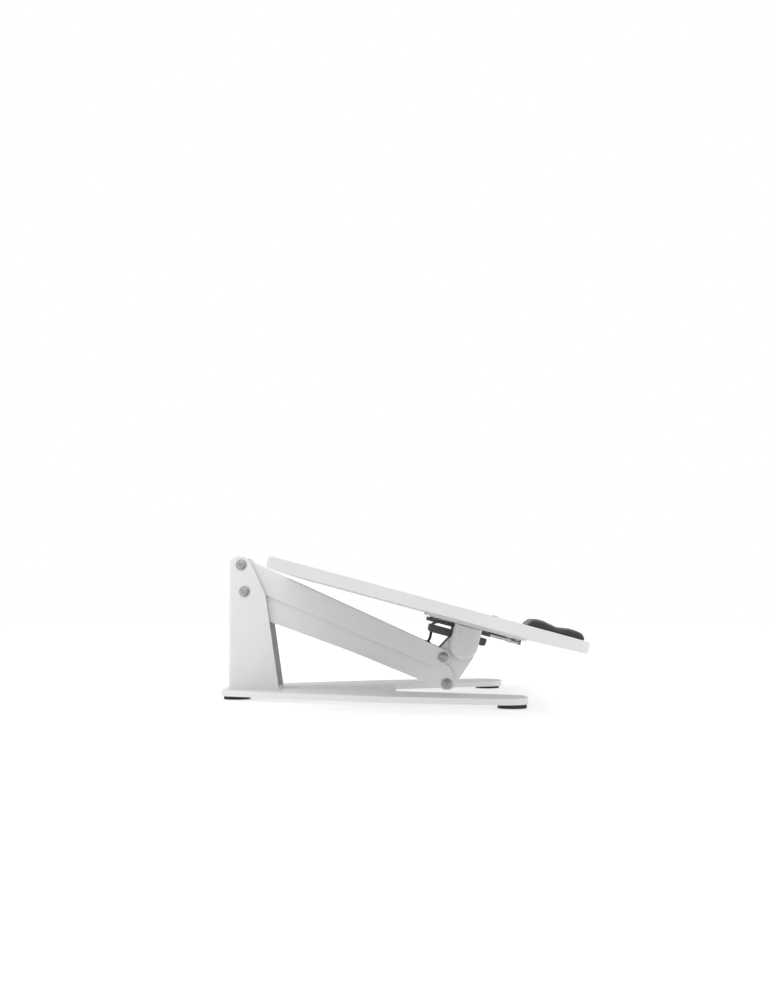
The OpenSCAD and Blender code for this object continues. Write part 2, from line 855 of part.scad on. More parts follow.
module spring_barrel() {
    color("black") on_spring() rotate([-90, 0, 0]) difference() {
        translate([0, 0, barrel_start]) cylinder(r = barrel_r, h = barrel_end - barrel_start);
        translate([0, 0, barrel_start - 1]) cylinder(r = barrel_r - barrel_wall, h = barrel_end - barrel_start - 5);
    }
}

module rod_guide() {
    color("gray") on_spring() rotate([-90, 0, 0]) difference() {
        translate([0, 0, barrel_start]) cylinder(r = barrel_r - barrel_wall, h = 12);
        translate([0, 0, barrel_start - 1]) cylinder(r = rod_r + run_fit, h = 20);
    }
}

module spring_eye() {
    color("dimgray") on_spring() difference() {
        union() {
            rotate([-90, 0, 0]) translate([0, 0, barrel_end]) cylinder(r = 6, h = spring_length - barrel_end);
            cross([-spring_length, 0], eye_r, -11, 11);
        }
        cross([-spring_length, 0], anchor_pin_r + anchor_play, -20, 20);
    }
}

base_plate();
foot(rear_foot, -1);  // foot_rear_left
foot(rear_foot, 1);  // foot_rear_right
foot(front_foot, -1);  // foot_front_left
foot(front_foot, 1);  // foot_front_right
tower();
tower_screws();
rear_upper_axle();
rear_lower_axle();
rear_washers();
rear_bolts();
rear_upper_bushes();
rear_lower_bushes();
spring_anchor();
spring_anchor_pin();
upper_link();
cable_grommet();
release_wire();
lower_link();
knuckle();
front_upper_axle();
front_lower_axle();
front_washers();
front_bolts();
front_spacers();
tilt_spacers();
desktop();
mounting_plate();
ear(-1);  // ear_left
ear(1);  // ear_right
tilt_axle();
pivot_cover(-1);  // pivot_cover_left
pivot_cover(1);  // pivot_cover_right
plate_screws();
tilt_carrier();
mechanism_block();
palm_pad(-1);  // palm_pad_left
palm_pad(1);  // palm_pad_right
lever_housing();
lever_screws();
lever_pin();
lever_spring();
cable_clips();
release_cable();
cable_loop();
hand_lever();
spring_rod();
release_head();
cam_pin();
release_cam();
spring_barrel();
rod_guide();
spring_eye();
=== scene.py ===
import json
import math

import bmesh
import bpy
from mathutils import Matrix, Vector


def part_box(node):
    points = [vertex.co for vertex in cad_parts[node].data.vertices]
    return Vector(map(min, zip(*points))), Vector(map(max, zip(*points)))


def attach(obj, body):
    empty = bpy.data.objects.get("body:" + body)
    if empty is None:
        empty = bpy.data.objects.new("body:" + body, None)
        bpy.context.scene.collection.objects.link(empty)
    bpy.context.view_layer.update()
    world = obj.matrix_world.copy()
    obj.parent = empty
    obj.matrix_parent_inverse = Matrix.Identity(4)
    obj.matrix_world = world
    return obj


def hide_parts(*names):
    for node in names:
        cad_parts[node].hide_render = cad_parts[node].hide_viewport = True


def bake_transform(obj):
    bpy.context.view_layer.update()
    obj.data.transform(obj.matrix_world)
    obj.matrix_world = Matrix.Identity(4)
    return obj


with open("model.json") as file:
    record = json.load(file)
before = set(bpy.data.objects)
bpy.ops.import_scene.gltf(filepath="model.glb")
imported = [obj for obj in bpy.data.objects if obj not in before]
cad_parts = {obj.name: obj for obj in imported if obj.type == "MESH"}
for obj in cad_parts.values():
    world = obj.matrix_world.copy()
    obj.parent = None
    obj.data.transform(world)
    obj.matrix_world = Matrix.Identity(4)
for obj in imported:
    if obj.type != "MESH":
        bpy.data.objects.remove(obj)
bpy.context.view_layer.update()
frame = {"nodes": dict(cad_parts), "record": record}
mm = 0.001
joints = {j["name"]: j for j in frame["record"]["behaviour"]["joints"]}
print("frame loaded:", len(frame["nodes"]), "nodes")

# the two slanted frames that most pieces are placed in: local -Y is forward, local Z is up
tiltDegrees = joints["tilt"]["range_deg"][1]
armDegrees = 24.4
deskFrame = Matrix.Translation(joints["tilt"]["pos_m"]) @ Matrix.Rotation(math.radians(tiltDegrees), 4, "X")
upperFrame = Matrix.Translation(joints["lift"]["pos_m"]) @ Matrix.Rotation(math.radians(armDegrees), 4, "X")
lowerFrame = Matrix.Translation(joints["lower_arm_pivot"]["pos_m"]) \
    @ Matrix.Rotation(math.radians(armDegrees), 4, "X")


def onDesk(x, forward, up):
    return deskFrame @ Vector((x, -forward, up))


# ---- camera, light and floor
studio = {
    "cameraPlace": (-2.232, 0.0025, 0.1436),
    "cameraPitch": 4.43,
    "cameraYaw": 0.1,
    "lens": 49.7,
    "worldStrength": 1.0,
    "topPlace": (-0.3, 0.1, 2.4),
    "topTarget": (0, 0, 0.1),
    "topSize": (3.0, 3.0),
    "topStrength": 12.0,
    "floorRadius": 9.0,
    "floorDrop": 0.0004,
    "floorTone": 0.62,
    "floorGlow": 0.5,
}


def addArea(name, place, target, size, power):
    data = bpy.data.lights.new(name, "AREA")
    data.shape = "RECTANGLE"
    data.size, data.size_y = size
    data.energy = power
    light = bpy.data.objects.new(name, data)
    light.location = place
    light.rotation_mode = "QUATERNION"
    light.rotation_quaternion = (Vector(target) - Vector(place)).to_track_quat("-Z", "Y")
    bpy.context.scene.collection.objects.link(light)
    return light


def makeStudio():
    camData = bpy.data.cameras.new("camera")
    camData.lens = studio["lens"]
    camera = bpy.data.objects.new("camera", camData)
    camera.location = studio["cameraPlace"]
    camera.rotation_euler = (
        math.radians(90 + studio["cameraPitch"]), 0, math.radians(-90 + studio["cameraYaw"]))
    bpy.context.scene.collection.objects.link(camera)
    bpy.context.scene.camera = camera

    world = bpy.data.worlds.new("studioWorld")
    world.use_nodes = True
    world.node_tree.nodes["Background"].inputs["Color"].default_value = (1, 1, 1, 1)
    world.node_tree.nodes["Background"].inputs["Strength"].default_value = studio["worldStrength"]
    bpy.context.scene.world = world
    bpy.context.scene.view_settings.view_transform = "Standard"

    addArea("topSoftbox", studio["topPlace"], studio["topTarget"], studio["topSize"], studio["topStrength"])

    bm = bmesh.new()
    bmesh.ops.create_circle(bm, cap_ends=True, segments=64, radius=studio["floorRadius"])
    mesh = bpy.data.meshes.new("floor")
    bm.to_mesh(mesh)
    bm.free()
    floor = bpy.data.objects.new("floor", mesh)
    bpy.context.scene.collection.objects.link(floor)
    floor.location.z = -studio["floorDrop"]
    paper = bpy.data.materials.new("paleFloor")
    paper.use_nodes = True
    shader = paper.node_tree.nodes["Principled BSDF"]
    shader.inputs["Base Color"].default_value = (*[studio["floorTone"]] * 3, 1)
    shader.inputs["Emission Color"].default_value = (1, 1, 1, 1)
    shader.inputs["Emission Strength"].default_value = studio["floorGlow"]
    shader.inputs["Roughness"].default_value = 0.9
    shader.inputs["Specular IOR Level"].default_value = 0.1
    mesh.materials.append(paper)


makeStudio()
print("studio ready")


# ---- shader groups shared by the finishes
def newGroup(name, inputs, outputs):
    group = bpy.data.node_groups.new(name, "ShaderNodeTree")
    for label, kind, value in inputs:
        socket = group.interface.new_socket(name=label, in_out="INPUT", socket_type=kind)
        if value is not None:
            socket.default_value = value
    for label, kind in outputs:
        group.interface.new_socket(name=label, in_out="OUTPUT", socket_type=kind)
    return group, group.nodes.new("NodeGroupInput"), group.nodes.new("NodeGroupOutput")


def mapRange(group, source, low, high, fromLow=0.3, fromHigh=0.7):
    node = group.nodes.new("ShaderNodeMapRange")
    node.inputs["From Min"].default_value = fromLow
    node.inputs["From Max"].default_value = fromHigh
    group.links.new(source, node.inputs["Value"])
    for label, value in (("To Min", low), ("To Max", high)):
        if isinstance(value, float):
            node.inputs[label].default_value = value
        else:
            group.links.new(value, node.inputs[label])
    return node.outputs["Result"]


def noiseNode(group, coords, scale, detail=3.0):
    node = group.nodes.new("ShaderNodeTexNoise")
    node.inputs["Detail"].default_value = detail
    group.links.new(coords, node.inputs["Vector"])
    if isinstance(scale, float):
        node.inputs["Scale"].default_value = scale
    else:
        group.links.new(scale, node.inputs["Scale"])
    return node.outputs["Fac"]


def makeToneGroup():  # slow drift between two colours, as paint or moulding has across a piece
    group, given, made = newGroup(
        "slowTone",
        [("Vector", "NodeSocketVector", None), ("Patch Scale", "NodeSocketFloat", 9.0),
         ("First Colour", "NodeSocketColor", None), ("Second Colour", "NodeSocketColor", None)],
        [("Colour", "NodeSocketColor")])
    patches = noiseNode(group, given.outputs["Vector"], given.outputs["Patch Scale"], 4.0)
    mix = group.nodes.new("ShaderNodeMix")
    mix.data_type = "RGBA"
    group.links.new(mapRange(group, patches, 0.0, 1.0), mix.inputs[0])
    group.links.new(given.outputs["First Colour"], mix.inputs[6])
    group.links.new(given.outputs["Second Colour"], mix.inputs[7])
    group.links.new(mix.outputs[2], made.inputs["Colour"])
    return group


def makePeelGroup():  # orange peel of powder coat, with fine grit on top
    group, given, made = newGroup(
        "orangePeel",
        [("Vector", "NodeSocketVector", None), ("Peel Scale", "NodeSocketFloat", 620.0),
         ("Least Roughness", "NodeSocketFloat", 0.35), ("Most Roughness", "NodeSocketFloat", 0.5)],
        [("Roughness", "NodeSocketFloat"), ("Height", "NodeSocketFloat")])
    peel = noiseNode(group, given.outputs["Vector"], given.outputs["Peel Scale"], 2.0)
    smears = noiseNode(group, given.outputs["Vector"], 31.0, 5.0)
    group.links.new(
        mapRange(group, smears, given.outputs["Least Roughness"], given.outputs["Most Roughness"]),
        made.inputs["Roughness"])
    group.links.new(mapRange(group, peel, 0.0, 1.0), made.inputs["Height"])
    return group


def makeGrainGroup():  # pebbled grain of moulded plastic, rubber and soft skin
    group, given, made = newGroup(
        "pebbleGrain",
        [("Vector", "NodeSocketVector", None), ("Grain Scale", "NodeSocketFloat", 900.0),
         ("Least Roughness", "NodeSocketFloat", 0.5), ("Most Roughness", "NodeSocketFloat", 0.7)],
        [("Roughness", "NodeSocketFloat"), ("Height", "NodeSocketFloat")])
    cells = group.nodes.new("ShaderNodeTexVoronoi")
    cells.feature = "SMOOTH_F1"
    group.links.new(given.outputs["Vector"], cells.inputs["Vector"])
    group.links.new(given.outputs["Grain Scale"], cells.inputs["Scale"])
    rubbed = noiseNode(group, given.outputs["Vector"], 45.0, 4.0)
    group.links.new(
        mapRange(group, rubbed, given.outputs["Least Roughness"], given.outputs["Most Roughness"]),
        made.inputs["Roughness"])
    group.links.new(mapRange(group, cells.outputs["Distance"], 0.0, 1.0, 0.0, 0.8), made.inputs["Height"])
    return group


def makeBrushGroup():  # fine lines left by grinding or turning, drawn out along X
    group, given, made = newGroup(
        "grindLines",
        [("Vector", "NodeSocketVector", None), ("Line Scale", "NodeSocketFloat", 1500.0),
         ("Least Roughness", "NodeSocketFloat", 0.2), ("Most Roughness", "NodeSocketFloat", 0.38)],
        [("Roughness", "NodeSocketFloat"), ("Height", "NodeSocketFloat")])
    drawnOut = group.nodes.new("ShaderNodeMapping")
    drawnOut.inputs["Scale"].default_value = (0.04, 1.0, 1.0)
    group.links.new(given.outputs["Vector"], drawnOut.inputs["Vector"])
    lines = noiseNode(group, drawnOut.outputs["Vector"], given.outputs["Line Scale"], 2.0)
    group.links.new(
        mapRange(group, lines, given.outputs["Least Roughness"], given.outputs["Most Roughness"]),
        made.inputs["Roughness"])
    group.links.new(mapRange(group, lines, 0.0, 1.0), made.inputs["Height"])
    return group


surfaceGroups = {"peel": makePeelGroup(), "grain": makeGrainGroup(), "brush": makeBrushGroup()}
scaleLabel = {"peel": "Peel Scale", "grain": "Grain Scale", "brush": "Line Scale"}
toneGroup = makeToneGroup()


# ---- finishes, one dictionary each
finishes = {
    "white_powder_coat": {
        "surface": "peel", "scale": 620.0, "first": (0.735, 0.735, 0.735), "second": (0.77, 0.77, 0.765),
        "roughness": (0.36, 0.5), "bump": 0.1, "depth": 0.00010},
    "white_board": {
        "surface": "peel", "scale": 380.0, "first": (0.655, 0.655, 0.655), "second": (0.69, 0.69, 0.687),
        "roughness": (0.3, 0.42), "bump": 0.05, "depth": 0.00006},
    "white_plastic": {
        "surface": "grain", "scale": 1300.0, "first": (0.69, 0.69, 0.69), "second": (0.725, 0.725, 0.72),
        "roughness": (0.3, 0.42), "bump": 0.06, "depth": 0.00005},
    "nylon": {
        "surface": "grain", "scale": 1100.0, "first": (0.74, 0.74, 0.72), "second": (0.79, 0.79, 0.77),
        "roughness": (0.45, 0.6), "bump": 0.08, "depth": 0.00005},
    "rubber_feet": {
        "surface": "grain", "scale": 1500.0, "first": (0.018, 0.018, 0.018), "second": (0.03, 0.03, 0.03),
        "roughness": (0.7, 0.9), "bump": 0.25, "depth": 0.00010},
    "zinc_bolts": {
        "surface": "brush", "scale": 1700.0, "first": (0.34, 0.34, 0.345), "second": (0.42, 0.42, 0.425),
        "roughness": (0.28, 0.42), "bump": 0.06, "depth": 0.00004, "metal": 1.0},
    "steel": {
        "surface": "brush", "scale": 1900.0, "first": (0.52, 0.52, 0.53), "second": (0.62, 0.62, 0.63),
        "roughness": (0.22, 0.36), "bump": 0.06, "depth": 0.00004, "metal": 1.0},
    "chrome_rod": {
        "surface": "brush", "scale": 2400.0, "first": (0.74, 0.74, 0.75), "second": (0.79, 0.79, 0.8),
        "roughness": (0.05, 0.12), "bump": 0.02, "depth": 0.00002, "metal": 1.0},
    "black_metal": {
        "surface": "peel", "scale": 800.0, "first": (0.055, 0.055, 0.057), "second": (0.085, 0.085, 0.087),
        "roughness": (0.34, 0.5), "bump": 0.15, "depth": 0.00010},
    "black_plastic": {
        "surface": "grain", "scale": 1400.0, "first": (0.02, 0.02, 0.02), "second": (0.035, 0.035, 0.036),
        "roughness": (0.42, 0.6), "bump": 0.2, "depth": 0.00008},
    "cable_jacket": {
        "surface": "grain", "scale": 1800.0, "first": (0.02, 0.02, 0.02), "second": (0.034, 0.034, 0.034),
        "roughness": (0.38, 0.52), "bump": 0.08, "depth": 0.00005},
    "palm_pad": {
        "surface": "grain", "scale": 750.0, "first": (0.012, 0.012, 0.012), "second": (0.024, 0.024, 0.025),
        "roughness": (0.48, 0.66), "bump": 0.35, "depth": 0.00015, "sheen": 0.25},
}


def makeFinish(name):
    kit = finishes[name]
    mat = bpy.data.materials.new(name)
    mat.use_nodes = True
    tree = mat.node_tree
    shader = tree.nodes["Principled BSDF"]
    coords = tree.nodes.new("ShaderNodeTexCoord").outputs["Object"]
    tone = tree.nodes.new("ShaderNodeGroup")
    tone.node_tree = toneGroup
    tone.inputs["First Colour"].default_value = (*kit["first"], 1)
    tone.inputs["Second Colour"].default_value = (*kit["second"], 1)
    tree.links.new(coords, tone.inputs["Vector"])
    tree.links.new(tone.outputs["Colour"], shader.inputs["Base Color"])
    surface = tree.nodes.new("ShaderNodeGroup")
    surface.node_tree = surfaceGroups[kit["surface"]]
    surface.inputs[scaleLabel[kit["surface"]]].default_value = kit["scale"]
    surface.inputs["Least Roughness"].default_value = kit["roughness"][0]
    surface.inputs["Most Roughness"].default_value = kit["roughness"][1]
    tree.links.new(coords, surface.inputs["Vector"])
    tree.links.new(surface.outputs["Roughness"], shader.inputs["Roughness"])
    bump = tree.nodes.new("ShaderNodeBump")
    bump.inputs["Strength"].default_value = kit["bump"]
    bump.inputs["Distance"].default_value = kit["depth"]
    tree.links.new(surface.outputs["Height"], bump.inputs["Height"])
    tree.links.new(bump.outputs["Normal"], shader.inputs["Normal"])
    shader.inputs["Metallic"].default_value = kit.get("metal", 0.0)
    if "sheen" in kit:
        shader.inputs["Sheen Weight"].default_value = kit["sheen"]
        shader.inputs["Sheen Roughness"].default_value = 0.5
    return mat


materials = {name: makeFinish(name) for name in finishes}
slotOf = {s["node"]: s["material_slot"] for s in frame["record"]["subparts"]}
bodyOf = {node: body for body, nodes in frame["record"]["behaviour"]["bodies"].items() for node in nodes}
print("finishes ready:", len(materials))


# ---- mesh helpers
def smoothByAngle(mesh, degrees=32):
    bm = bmesh.new()
    bm.from_mesh(mesh)
    limit = math.radians(degrees)
    for face in bm.faces:
        face.smooth = True
    for edge in bm.edges:
        edge.smooth = len(edge.link_faces) == 2 and edge.calc_face_angle(4.0) < limit
    bm.to_mesh(mesh)
    bm.free()


def meshObject(name, mesh):
    piece = bpy.data.objects.new(name, mesh)
    bpy.context.scene.collection.objects.link(piece)
    return piece


def meshFrom(bm, name):
    mesh = bpy.data.meshes.new(name)
    bm.to_mesh(mesh)
    bm.free()
    return mesh


def weighNormals(piece):  # large flat faces keep their own shading beside small rounded ones
    weighted = piece.modifiers.new("flatFaces", "WEIGHTED_NORMAL")
    weighted.mode = "FACE_AREA"
    weighted.weight = 100
    weighted.keep_sharp = True


def bake(piece):  # modifiers become plain mesh
    depsgraph = bpy.context.evaluated_depsgraph_get()
    mesh = bpy.data.meshes.new_from_object(piece.evaluated_get(depsgraph))
    piece.modifiers.clear()
    piece.data = mesh
    return piece


def place(piece, slot, body, *nodes):
    if not piece.data.materials:
        piece.data.materials.append(materials[slot])
    if nodes:
        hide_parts(*nodes)
    if body:
        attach(piece, body)
    return piece


def addBevel(piece, width, segments=2, degrees=35):
    bevel = piece.modifiers.new("softEdges", "BEVEL")
    bevel.width = width
    bevel.segments = segments
    bevel.limit_method = "ANGLE"
    bevel.angle_limit = math.radians(degrees)
    bevel.use_clamp_overlap = True


def cleanCopy(node):  # the CAD piece as one welded surface
    bm = bmesh.new()
    bm.from_mesh(frame["nodes"][node].data)
    bmesh.ops.remove_doubles(bm, verts=bm.verts, dist=2e-6)
    bmesh.ops.dissolve_limit(bm, angle_limit=math.radians(0.6), verts=bm.verts, edges=bm.edges)
    return bm


def softEdged(node, name, width, segments=2, bends=None):
    bm = cleanCopy(node)
    if bends:
        bendSheet(bm, **bends)
    piece = meshObject(name, meshFrom(bm, name))
    addBevel(piece, width, segments)
    bake(piece)
    smoothByAngle(piece.data, 50)
    weighNormals(piece)
    bake(piece)
    return place(piece, slotOf[node], bodyOf[node], node)


def bendSheet(bm, matrix, half, side, radius):  # rounds the two long folds of a channel
    inverse = matrix.inverted().to_3x3()
    chosen = []
    for edge in bm.edges:
        if len(edge.link_faces) != 2 or any(abs(abs(v.co.x) - half) > 2e-5 for v in edge.verts):
            continue
        normals = [inverse @ f.normal for f in edge.link_faces]
        flat = [n for n in normals if abs(n.x) > 0.95]
        fold = [n for n in normals if n.z * side > 0.8]
        if flat and fold:
            chosen.append(edge)
    bmesh.ops.bevel(bm, geom=chosen, offset=radius, segments=5, profile=0.5, affect="EDGES",
                    clamp_overlap=True)


# ---- sheet metal and turned pieces that keep their CAD shape
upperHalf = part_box("upper_link")[1].x
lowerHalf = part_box("lower_link")[1].x
foldRadius = 2.6 * mm
edgeWidths = {
    "base_plate": ("basePlate", 1.6 * mm, 4), "tower": ("towerShell", 0.45 * mm, 2),
    "knuckle": ("knuckleFrame", 0.5 * mm, 2), "mounting_plate": ("mountingPlate", 0.5 * mm, 2),
    "ear_left": ("earLeft", 0.5 * mm, 2), "ear_right": ("earRight", 0.5 * mm, 2),
    "rear_upper_axle": ("rearUpperAxle", 0.4 * mm, 2), "rear_lower_axle": ("rearLowerAxle", 0.4 * mm, 2),
    "rear_washers": ("rearWashers", 0.25 * mm, 2), "front_washers": ("frontWashers", 0.25 * mm, 2),
    "rear_upper_bushes": ("rearUpperBushes", 0.3 * mm, 2),
    "rear_lower_bushes": ("rearLowerBushes", 0.3 * mm, 2),
    "spring_anchor": ("springAnchor", 0.4 * mm, 2), "spring_anchor_pin": ("springAnchorPin", 0.4 * mm, 2),
    "front_upper_axle": ("frontUpperAxle", 0.4 * mm, 2), "front_lower_axle": ("frontLowerAxle", 0.4 * mm, 2),
    "front_spacers": ("frontSpacers", 0.3 * mm, 2), "tilt_spacers": ("tiltSpacers", 0.3 * mm, 2),
    "tilt_axle": ("tiltAxle", 0.4 * mm, 2), "tilt_carrier": ("tiltCarrier", 0.8 * mm, 3),
    "mechanism_block": ("mechanismBlock", 1.2 * mm, 3), "lever_housing": ("leverHousing", 0.6 * mm, 3),
    "lever_pin": ("leverPin", 0.3 * mm, 2), "cable_clips": ("cableClips", 0.5 * mm, 2),
    "cable_grommet": ("cableGrommet", 0.35 * mm, 2), "release_wire": ("releaseWire", 0.2 * mm, 2),
    "spring_rod": ("springRod", 0.4 * mm, 2), "release_head": ("releaseHead", 0.5 * mm, 2),
    "cam_pin": ("camPin", 0.3 * mm, 2), "release_cam": ("releaseCam", 0.4 * mm, 2),
    "spring_barrel": ("springBarrel", 0.6 * mm, 2), "rod_guide": ("rodGuide", 0.4 * mm, 2),
    "spring_eye": ("springEye", 0.6 * mm, 2),
}
for node, (name, width, segments) in edgeWidths.items():
    softEdged(node, name, width, segments)
softEdged("upper_link", "upperLink", 0.35 * mm, 2,
          {"matrix": upperFrame, "half": upperHalf, "side": 1, "radius": foldRadius})
softEdged("lower_link", "lowerLink", 0.35 * mm, 2,
          {"matrix": lowerFrame, "half": lowerHalf, "side": -1, "radius": foldRadius})
print("metal pieces ready:", len(edgeWidths) + 2)


# ---- desktop board
board = {"width": 0.900, "front": 0.136, "back": 0.299, "low": 0.035, "thick": 0.016,
         "corner": 0.028, "steps": 14, "edgeRadius": 2.2 * mm}


def makeBoard():
    half, r = board["width"] / 2, board["corner"]
    centres = [(half - r, board["front"] - r, 0), (half - r, -board["back"] + r, 270),
               (-half + r, -board["back"] + r, 180), (-half + r, board["front"] - r, 90)]
    rim = []
    for x, u, start in centres:
        for k in range(board["steps"] + 1):
            a = math.radians(start + 90 - 90 * k / board["steps"])
            rim.append((x + r * math.cos(a), u + r * math.sin(a)))
    bm = bmesh.new()
    lowFace = bm.faces.new([bm.verts.new(onDesk(x, u, board["low"])) for x, u in rim])
    grown = bmesh.ops.extrude_face_region(bm, geom=[lowFace])
    lift = deskFrame.to_3x3() @ Vector((0, 0, board["thick"]))
    bmesh.ops.translate(bm, vec=lift, verts=[v for v in grown["geom"] if isinstance(v, bmesh.types.BMVert)])
    bmesh.ops.recalc_face_normals(bm, faces=bm.faces)
    piece = meshObject("desktopBoard", meshFrom(bm, "desktopBoard"))
    addBevel(piece, board["edgeRadius"], 4)
    bake(piece)
    smoothByAngle(piece.data, 50)
    weighNormals(piece)
    bake(piece)
    return place(piece, "white_board", "tabletop", "desktop")


makeBoard()
print("board ready")


# ---- palm pads, one at each end of the board's front, each stuffed into two humps
palm = {"length": 0.078, "depth": 0.080, "height": 11.2 * mm, "front": 0.1300, "endRadius": 0.009,
        "middle": 0.380, "steps": 44, "aboveBoard": 0.15 * mm,
        "endWidth": (0.90, 0.10), "endHeight": (0.25, 0.75),
        "voxel": 1.6 * mm, "pressure": 4.0, "frames": 20, "held": 1.2 * mm, "most": 0.9 * mm}


def humps(t):  # height share across the pad, 0 at its back edge and 1 at its front
    shape = [(0.0, 0.0), (0.03, 0.42), (0.09, 0.93), (0.16, 1.0), (0.26, 0.97), (0.38, 0.80), (0.50, 0.66),
             (0.60, 0.76), (0.70, 0.88), (0.82, 0.90), (0.92, 0.80), (0.97, 0.50), (1.0, 0.0)]
    for (t0, h0), (t1, h1) in zip(shape, shape[1:]):
        if t <= t1:
            s = (t - t0) / (t1 - t0)
            return h0 + (h1 - h0) * s * s * (3 - 2 * s)
    return 0.0


def makePalmPad(name, sign, node):
    steps = palm["steps"]
    bm = bmesh.new()
    top, low = [], []
    floorUp = board["low"] + board["thick"] + palm["aboveBoard"]
    for i in range(steps + 1):
        along = -1 + 2 * i / steps
        x = sign * palm["middle"] + along * palm["length"] / 2
        fromEnd = palm["length"] / 2 * (1 - abs(along))
        s = min(1.0, fromEnd / palm["endRadius"])
        ending = math.sqrt(max(0.0, 1 - (1 - s) ** 2))
        width = palm["endWidth"][0] + palm["endWidth"][1] * ending
        tall = palm["endHeight"][0] + palm["endHeight"][1] * ending
        rowTop, rowLow = [], []
        for j in range(steps + 1):
            t = j / steps
            u = palm["front"] - palm["depth"] * (0.5 + (0.5 - t) * width)
            h = palm["height"] * humps(t) * tall
            rowLow.append(bm.verts.new(onDesk(x, u, floorUp)))
            rowTop.append(rowLow[-1] if h <= 0 else bm.verts.new(onDesk(x, u, floorUp + h)))
        top.append(rowTop)
        low.append(rowLow)
    for i in range(steps):
        for j in range(steps):
            for grid, flip in ((top, False), (low, True)):
                quad = [grid[i][j], grid[i + 1][j], grid[i + 1][j + 1], grid[i][j + 1]]
                quad = list(dict.fromkeys(reversed(quad) if flip else quad))
                if len(quad) > 2:
                    bm.faces.new(quad)
    for i in (0, steps):  # the two ends
        for j in range(steps):
            ring = list(dict.fromkeys([low[i][j], low[i][j + 1], top[i][j + 1], top[i][j]]))
            if len(ring) > 2:
                bm.faces.new(ring)
    bmesh.ops.recalc_face_normals(bm, faces=bm.faces)
    pad = meshObject(name, meshFrom(bm, name))
    remesh = pad.modifiers.new("evenSkin", "REMESH")
    remesh.mode = "VOXEL"
    remesh.voxel_size = palm["voxel"]
    bake(pad)
    stuff(pad, floorUp)
    smooth = pad.modifiers.new("skin", "SUBSURF")
    smooth.levels = smooth.render_levels = 1
    bake(pad)
    for face in pad.data.polygons:
        face.use_smooth = True
    place(pad, "palm_pad", "tabletop", node)
    return pad


def stuff(pad, floorUp):  # blows the skin up a little against its own stretch
    inverse = deskFrame.inverted()
    rest = [v.co.copy() for v in pad.data.vertices]
    held = pad.vertex_groups.new(name="held")
    held.add([i for i, p in enumerate(rest) if (inverse @ p).z < floorUp + palm["held"]],
             1.0, "REPLACE")
    cloth = pad.modifiers.new("skinCloth", "CLOTH")
    cloth.settings.vertex_group_mass = "held"
    cloth.settings.use_pressure = True
    cloth.settings.uniform_pressure_force = palm["pressure"]
    cloth.settings.effector_weights.gravity = 0.0
    cloth.settings.quality = 5
    cloth.point_cache.frame_start, cloth.point_cache.frame_end = 1, palm["frames"]
    for number in range(1, palm["frames"] + 1):
        bpy.context.scene.frame_set(number)
    bake(pad)
    for vertex, old in zip(pad.data.vertices, rest):
        moved = vertex.co - old
        if moved.length > palm["most"]:
            vertex.co = old + moved.normalized() * palm["most"]
    bpy.context.scene.frame_set(1)


makePalmPad("palmPadLeft", -1, "palm_pad_left")
makePalmPad("palmPadRight", 1, "palm_pad_right")
print("palm pads ready")


# ---- domed pivot covers
cover = {"radius": 20.6 * mm, "top": 30.0 * mm, "inner": 50.5 * mm, "thick": 3.5 * mm, "rim": 0.9 * mm,
         "shoulder": 13.0 * mm, "topShare": 0.15, "rings": 9, "steps": 40}


def makeCover(name, sign, node):
    def outline(inset):
        r, top = cover["radius"] - inset, cover["top"] - inset * cover["topShare"]
        angles = [math.radians(180 + 180 * k / cover["steps"]) for k in range(cover["steps"] + 1)]
        return [(-r, top), *[(r * math.cos(a), r * math.sin(a)) for a in angles], (r, top)]

    bm = bmesh.new()
    layers = [(0.0, 0.0)]
    for k in range(cover["rings"] + 1):
        s = k / cover["rings"]
        layers.append((cover["shoulder"] * (1 - math.cos(s * math.pi / 2)),
                       cover["rim"] + (cover["thick"] - cover["rim"]) * math.sin(s * math.pi / 2)))
    rings = [[bm.verts.new(onDesk(sign * (cover["inner"] + height), u, v)) for u, v in outline(inset)]
             for inset, height in layers]
    for a, b in zip(rings, rings[1:]):
        for k in range(len(a)):
            bm.faces.new((a[k], a[(k + 1) % len(a)], b[(k + 1) % len(a)], b[k]))
    bm.faces.new(rings[0])
    bm.faces.new(rings[-1])
    bmesh.ops.recalc_face_normals(bm, faces=bm.faces)
    mesh = meshFrom(bm, name)
    smoothByAngle(mesh, 30)
    return place(meshObject(name, mesh), "white_plastic", "tabletop", node)


makeCover("pivotCoverLeft", -1, "pivot_cover_left")
makeCover("pivotCoverRight", 1, "pivot_cover_right")
print("covers ready")


# ---- rubber feet, turned profiles with grip grooves underneath
foot = {"segments": 72,
        "profile": [(0, 0.5), (6, 0.5), (6.4, 0.0), (9, 0.0), (9.4, 0.5), (12, 0.5), (12.4, 0.0), (15, 0.0),
                    (15.4, 0.5), (18, 0.5), (18.4, 0.0), (20.0, 0.0), (20.8, 0.7), (21.0, 1.6), (21.0, 5.2),
                    (20.6, 6.0), (0, 6.0)]}


def lathe(bm, profile, segments, matrix):
    columns = []
    angles = [2 * math.pi * k / segments for k in range(segments)]
    for r, z in profile:
        if r == 0:
            columns.append([bm.verts.new(matrix @ Vector((0, 0, z * mm)))])
        else:
            ring = [Vector((r * mm * math.cos(a), r * mm * math.sin(a), z * mm)) for a in angles]
            columns.append([bm.verts.new(matrix @ point) for point in ring])
    for a, b in zip(columns, columns[1:]):
        for k in range(segments):
            quad = [a[k % len(a)], a[(k + 1) % len(a)], b[(k + 1) % len(b)], b[k % len(b)]]
            quad = list(dict.fromkeys(quad))
            if len(quad) > 2:
                bm.faces.new(quad)
    bmesh.ops.recalc_face_normals(bm, faces=bm.faces)


